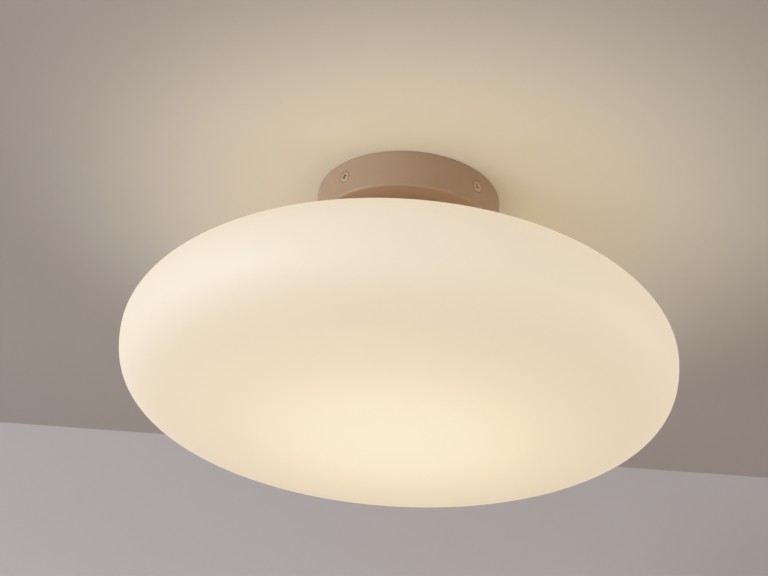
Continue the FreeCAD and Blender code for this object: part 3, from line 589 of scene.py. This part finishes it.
def finishes():
    """Every slot's material, by the slot's name in the record."""
    made = {"taupe_paint": paint(), "opal_glass": opal_glass(), "green_insulation": striped_insulation()}
    for metallic, table in ((1.0, metals), (0.0, plastics)):
        for name, row in table.items():
            made[name] = finish(name, metallic, *row)
    for name, (colour, strength) in lit_plastics.items():
        made[name] = lit_plastic(name, colour, strength)
    return made


def dress(piece, made):
    piece.data.materials.clear()
    piece.data.materials.append(made)


def dress_frame(made):
    """The CAD nodes get their slot's material and smooth shading."""
    for row in frame["record"]["subparts"]:
        piece = frame["nodes"][row["node"]]
        dress(piece, made[row["material_slot"]])
        piece.data.shade_smooth()
        piece.data.set_sharp_from_angle(angle=sharp_angle)


# The canopy and its screws

def screw_places():
    """Matrices that take a screw drawn head up at the origin into the canopy's side."""
    laid = Matrix.Translation((canopy_radius, 0, screw_z)) @ Matrix.Rotation(quarter_turn, 4, "Y")
    angles = [screw_first_angle + full_turn * step / screw_count for step in range(screw_count)]
    return [around(angle) @ laid for angle in angles]


def screw_profile(extra, head_rim_radius):
    """Half a countersunk screw's outline, grown by an extra all round."""
    head = screw_head_radius + extra
    shank = screw_shank_radius + extra
    cone_z = -screw_head_rim - head + shank
    return rounded([(0, extra, 0), (head, extra, head_rim_radius), (head, -screw_head_rim, 0),
                    (shank, cone_z, 0), (shank, -screw_length, 0), (0, -screw_length, 0)])


def arm_tool(turn):
    """One tapered bar of the cross recess."""
    mesh = bmesh.new()
    levels = ((recess_reach, recess_arm_width / 2, screw_gap),
              (recess_reach * recess_foot_share, recess_arm_width * recess_taper_share / 2, -recess_depth))
    rings = []
    for x, y, z in levels:
        rings.append([mesh.verts.new(around(turn) @ Vector((sx * x, sy * y, z)))
                      for sx, sy in ((-1, -1), (1, -1), (1, 1), (-1, 1))])
    upper, lower = rings
    mesh.faces.new(upper)
    mesh.faces.new(lower[::-1])
    for index in range(len(upper)):
        after = (index + 1) % len(upper)
        mesh.faces.new((upper[index], lower[index], lower[after], upper[after]))
    return finish_mesh("arm_tool", mesh)


def core_tool():
    """The round middle of the cross recess."""
    side_share, tip_share = recess_core_depth_shares
    outline = [(0, screw_gap), (recess_core_radius * recess_core_rise_share, screw_gap),
               (recess_core_radius, -recess_depth * side_share), (0, -recess_depth * tip_share)]
    return lathe("core_tool", [Vector(point) for point in outline], small_lathe_steps)


def canopy_screws():
    """Four countersunk screws, each head with its cross recess."""
    first = lathe("canopy_screw", screw_profile(0, screw_head_rim / 2), small_lathe_steps)
    for tool in (arm_tool(0), arm_tool(quarter_turn), core_tool()):
        cut(first, tool)
    copies = []
    for place, turn in zip(screw_places(), screw_turns):
        copy = bpy.data.objects.new("screw_copy", first.data.copy())
        bpy.context.scene.collection.objects.link(copy)
        copy.matrix_world = place @ around(turn)
        copies.append(copy)
    bpy.data.objects.remove(first)
    bpy.context.view_layer.update()
    return join("canopy_screws_detail", copies)


def wall_normals(piece):
    """Gives the drum's side its true round normals, also round the screw holes."""
    data = piece.data
    normals = [Vector(entry.vector) for entry in data.corner_normals]
    for face in data.polygons:
        centre = face.center
        reach = math.hypot(centre.x, centre.y)
        if reach < canopy_radius - canopy_wall * side_depth_share or abs(face.normal.z) > upright_share:
            continue
        if face.normal.x * centre.x + face.normal.y * centre.y < reach * side_normal_share:
            continue
        for loop in face.loop_indices:
            place = data.vertices[data.loops[loop].vertex_index].co
            normals[loop] = Vector((place.x, place.y, 0)).normalized()
    data.normals_split_custom_set(normals)


def canopy_drum():
    """The drum with its rolled lower edge and four countersunk holes."""
    hole = collar_radius + canopy_hole_gap
    inner = canopy_radius - canopy_wall
    drum = lathe("canopy_drum", rounded([
        (canopy_radius, 0, 0),
        (canopy_radius, canopy_low.z, canopy_edge_radius),
        (hole, canopy_low.z, 0),
        (hole, canopy_floor_z, 0),
        (inner, canopy_floor_z, canopy_inner_edge_radius),
        (inner, 0, 0),
    ]))
    for place in screw_places():
        tool = lathe("sink_tool", screw_profile(sink_gap, 0), small_lathe_steps)
        tool.data.transform(place)
        cut(drum, tool)
    drum.data.set_sharp_from_angle(angle=sharp_angle)
    wall_normals(drum)
    return drum


# The glass

def glass_skin(inset, neck_foot):
    """One skin of the glass, from the foot of the neck to the bottom pole."""
    radius = globe_radius - inset
    upper_z = globe_rim_z + globe_upper_height - inset
    lower_z = globe_low.z + inset
    rim = Vector((radius, globe_rim_z))
    upper = [rim, Vector((radius, globe_rim_z + (upper_z - globe_rim_z) * upper_rim_pull_share)),
             Vector((radius * upper_pole_pull_share, upper_z)), Vector((0, upper_z))]
    lower = [rim, Vector((radius, globe_rim_z + (lower_z - globe_rim_z) * lower_rim_pull_share)),
             Vector((radius * lower_pole_pull_share, lower_z)), Vector((0, lower_z))]
    crown = bezier(*upper, shoulder_start_share)
    meeting = crown[-1]
    direction = (crown[-1] - crown[-2]).normalized()
    pull = shoulder_pull_share * (meeting - neck_foot).length
    sweep = bezier(neck_foot, neck_foot - Vector((0, pull)), meeting + direction * pull, meeting)
    return sweep[:-1] + crown[::-1] + bezier(*lower)[1:]


def glass_globe():
    """The glass: a neck, a ledge for the seal, a bead, and the flattened globe with its inner skin."""
    bead_z = seal_low.z - bead_height
    bead_radius = collar_radius + bead_overhang
    inner = neck_radius - globe_wall
    outer_skin = glass_skin(0, Vector((bead_radius, bead_z)))
    inner_skin = glass_skin(globe_wall, Vector((inner, bead_z)))
    lip = rounded([
        (inner, bead_z, 0),
        (inner, globe_high.z, neck_lip_radius),
        (neck_radius, globe_high.z, neck_lip_radius),
        (neck_radius, seal_low.z, neck_corner_radius),
        (bead_radius, seal_low.z, bead_corner_radius),
        (bead_radius, bead_z, 0),
    ])
    return lathe("glass_globe_skin", lip[1:-1] + outer_skin + inner_skin[::-1])


def neck_threads():
    """The ridge on the glass neck, and the ridge inside the collar that lies between its turns."""
    low_z = seal_low.z + neck_thread_start
    bore = collar_radius - collar_wall
    outer = helix_bead("neck_thread", neck_radius, low_z, neck_thread_half_width, 1)
    inner = helix_bead("collar_thread", bore, low_z + neck_thread_pitch / 2,
                       neck_thread_half_width * collar_thread_width_share, -1)
    return outer, inner


# The Edison thread

def edison(depth, low_z, high_z):
    """How far the rolled thread draws a wall in, by angle and place."""
    def inset(angle, point):
        share = max(0.0, min(1.0, (point.y - low_z) / edison_fade, (high_z - point.y) / edison_fade))
        wave = (1 - math.cos(angle - full_turn * point.y / edison_pitch)) / 2
        return depth * wave * share
    return inset


def bulb_cap():
    inner = cap_radius - cap_wall
    roof_z = cap_high.z - cap_wall
    outline = rounded([
        (0, cap_high.z, 0),
        (cap_radius, cap_high.z, cap_edge_radius),
        (cap_radius, cap_low.z, 0),
        (inner, cap_low.z, 0),
        (inner, roof_z, cap_edge_radius - cap_wall),
        (0, roof_z, 0),
    ])
    inset = edison(cap_thread_depth, cap_low.z + cap_thread_margin, cap_high.z - cap_thread_margin)
    return lathe("bulb_cap_rolled", divided(outline, edison_step), small_lathe_steps, inset=inset)


def lampholder_shell():
    bore = cap_radius + shell_thread_gap
    outer = bore + shell_wall
    flange_z = shell_high.z - shell_wall
    outline = rounded([
        (bore, shell_low.z, 0),
        (outer, shell_low.z, 0),
        (outer, flange_z, 0),
        (core_radius, flange_z, 0),
        (core_radius, shell_high.z, 0),
        (bore, shell_high.z, 0),
    ])
    inset = edison(shell_thread_depth, shell_low.z + shell_thread_margin, flange_z - shell_thread_margin)
    return lathe("lampholder_shell_rolled", divided(outline, edison_step), small_lathe_steps, inset=inset)


# Driver slots

def welded(name, node_name):
    """A copy of a CAD node's mesh with its vertices joined."""
    mesh = bmesh.new()
    mesh.from_mesh(frame["nodes"][node_name].data)
    bmesh.ops.remove_doubles(mesh, verts=mesh.verts, dist=weld_distance)
    return finish_mesh(name, mesh)


def islands(data):
    """The lowest and highest corners of each loose part of a mesh."""
    mesh = bmesh.new()
    mesh.from_mesh(data)
    left = set(mesh.verts)
    boxes = []
    while left:
        waiting = [left.pop()]
        places = []
        while waiting:
            vertex = waiting.pop()
            places.append(tuple(vertex.co))
            for edge in vertex.link_edges:
                other = edge.other_vert(vertex)
                if other in left:
                    left.remove(other)
                    waiting.append(other)
        boxes.append((tuple(map(min, zip(*places))), tuple(map(max, zip(*places)))))
    mesh.free()
    return [(Vector(low), Vector(high)) for low, high in sorted(boxes)]


def slotted(node_name, upward):
    """A node's screws with a driver slot across each head."""
    piece = welded(node_name + "_slotted", node_name)
    tool = bmesh.new()
    for index, (low, high) in enumerate(islands(piece.data)):
        width = high.x - low.x
        middle = (low + high) / 2
        face = Vector((middle.x, middle.y, high.z if upward else low.z))
        size = Matrix.Diagonal((width * 2, width * slot_share, slot_depth * 2, 1))
        place = Matrix.Translation(face) @ around(slot_turn_step * (index + 1)) @ size
        bmesh.ops.create_cube(tool, size=1, matrix=place)
    cut(piece, finish_mesh("slot_tool", tool))
    piece.data.set_sharp_from_angle(angle=sharp_angle)
    return piece


def add(piece, body, slot, made, *nodes):
    dress(piece, made[slot])
    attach(piece, body)
    if nodes:
        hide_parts(*nodes)


# Stage, light and camera

def facing_only(tree, shader):
    """Lets a surface show from its front side only."""
    geometry = node(tree, "ShaderNodeNewGeometry")
    clear = node(tree, "ShaderNodeBsdfTransparent")
    mix = node(tree, "ShaderNodeMixShader")
    tree.links.new(geometry.outputs["Backfacing"], mix.inputs["Fac"])
    tree.links.new(shader.outputs["BSDF"], mix.inputs[1])
    tree.links.new(clear.outputs["BSDF"], mix.inputs[2])
    tree.links.new(mix.outputs["Shader"], tree.nodes["Material Output"].inputs["Surface"])


def flat_piece(name, corners, made):
    data = bpy.data.meshes.new(name)
    data.from_pydata(corners, [], [tuple(range(len(corners)))])
    piece = bpy.data.objects.new(name, data)
    bpy.context.scene.collection.objects.link(piece)
    dress(piece, made)


def floor():
    made = material("floor", floor_colour, floor_roughness)[0]
    half = floor_size / 2
    flat_piece("floor", [(-half, -half, floor_z), (half, -half, floor_z), (half, half, floor_z),
                         (-half, half, floor_z)], made)


def ceiling():
    """A plain ceiling, open over the canopy, with the lamp's warm pool of light painted into its colour."""
    made, tree, shader = material("ceiling", ceiling_near_colour, plaster_roughness)
    reach = axis_distance(tree, pool_centre)
    far = spread(tree, reach, 0.0, 1.0, pool_start_radius, pool_end_radius, "SMOOTHSTEP")
    tree.links.new(mixed(tree, far, ceiling_near_colour, ceiling_far_colour), shader.inputs["Base Color"])
    bump(tree, shader, noise(tree, ceiling_scale, ceiling_detail), ceiling_bump, plaster_height)
    facing_only(tree, shader)
    outline = [Vector((ceiling_reach, ceiling_gap)), Vector((ceiling_hole_radius, ceiling_gap))]
    piece = lathe("ceiling", outline, small_lathe_steps, closed=False)
    if piece.data.polygons[0].normal.z > 0:
        piece.data.flip_normals()
    dress(piece, made)


def wall():
    """The pale wall behind the light, which shows from the room only."""
    made, tree, shader = material("wall", wall_colour, plaster_roughness)
    bump(tree, shader, noise(tree, wall_scale, wall_detail), wall_bump, plaster_height)
    facing_only(tree, shader)
    half = ceiling_reach
    flat_piece("wall", [(-half, wall_y, -wall_height), (half, wall_y, -wall_height), (half, wall_y, 0),
                        (-half, wall_y, 0)], made)


def area_light(name, place, size, power, colour):
    data = bpy.data.lights.new(name, "AREA")
    data.shape = "RECTANGLE"
    data.size, data.size_y = size
    data.energy = power
    data.color = colour
    lamp = bpy.data.objects.new(name, data)
    lamp.location = place
    lamp.rotation_euler = (Vector(light_aim) - Vector(place)).to_track_quat("-Z", "Y").to_euler()
    bpy.context.scene.collection.objects.link(lamp)


def lights():
    area_light("window", window_place, window_size, window_power, window_colour)
    area_light("fill", fill_place, fill_size, fill_power, fill_colour)


def world():
    """A soft light for the object, and a pale surrounding for whatever looks past it."""
    made = bpy.data.worlds.new("studio")
    bpy.context.scene.world = made
    made.use_nodes = True
    tree = made.node_tree
    lighting = tree.nodes["Background"]
    lighting.inputs["Color"].default_value = (1, 1, 1, 1)
    lighting.inputs["Strength"].default_value = surrounding_strength
    shown = node(tree, "ShaderNodeBackground", Color=(*shown_colour, 1), Strength=shown_strength)
    path = node(tree, "ShaderNodeLightPath")
    any_glossy = node(tree, "ShaderNodeMath", operation="MAXIMUM")
    any_shown = node(tree, "ShaderNodeMath", operation="MAXIMUM")
    mix = node(tree, "ShaderNodeMixShader")
    tree.links.new(path.outputs["Is Glossy Ray"], any_glossy.inputs[0])
    tree.links.new(path.outputs["Is Transmission Ray"], any_glossy.inputs[1])
    tree.links.new(any_glossy.outputs["Value"], any_shown.inputs[0])
    tree.links.new(path.outputs["Is Camera Ray"], any_shown.inputs[1])
    tree.links.new(any_shown.outputs["Value"], mix.inputs["Fac"])
    tree.links.new(lighting.outputs["Background"], mix.inputs[1])
    tree.links.new(shown.outputs["Background"], mix.inputs[2])
    tree.links.new(mix.outputs["Shader"], tree.nodes["World Output"].inputs["Surface"])
    bpy.context.scene.view_settings.view_transform = "Standard"


def camera():
    """The photograph's camera, turned so that the canopy's screws lie on the model's diagonals."""
    forward = Vector((math.sin(camera_yaw) * math.cos(camera_pitch),
                      math.cos(camera_yaw) * math.cos(camera_pitch), math.sin(camera_pitch)))
    right = Vector((math.cos(camera_yaw), -math.sin(camera_yaw), 0))
    up = right.cross(forward)
    tilted_right = right * math.cos(camera_roll) + up * math.sin(camera_roll)
    tilted_up = up * math.cos(camera_roll) - right * math.sin(camera_roll)
    turn = Matrix.Rotation(camera_turn, 3, "Z")
    axes = Matrix((turn @ tilted_right, turn @ tilted_up, turn @ -forward)).transposed()
    data = bpy.data.cameras.new("camera")
    data.sensor_width = sensor_width
    data.lens = focal_pixels * sensor_width / photo_width
    data.clip_start = camera_clip
    made = bpy.data.objects.new("camera", data)
    place = turn @ Vector((0, -camera_distance, -camera_drop))
    made.matrix_world = Matrix.Translation(place) @ axes.to_4x4()
    bpy.context.scene.collection.objects.link(made)
    bpy.context.scene.camera = made


def main():
    made = finishes()
    dress_frame(made)
    add(canopy_drum(), "base", "taupe_paint", made, "canopy")
    add(canopy_screws(), "base", "nickel_screws", made, "canopy_screws")
    add(glass_globe(), "globe", "opal_glass", made, "glass_globe")
    neck_thread, collar_thread = neck_threads()
    add(neck_thread, "globe", "opal_glass", made)
    add(collar_thread, "base", "taupe_paint", made)
    add(bulb_cap(), "bulb", "bulb_nickel", made, "bulb_cap")
    add(lampholder_shell(), "base", "brass", made, "lampholder_shell")
    for name, upward in (("terminal_screws", False), ("block_screws", False), ("earth_screw", False),
                         ("contact_screws", True)):
        add(slotted(name, upward), "base", "steel_screws", made, name)
    floor()
    ceiling()
    wall()
    lights()
    world()
    camera()


main()
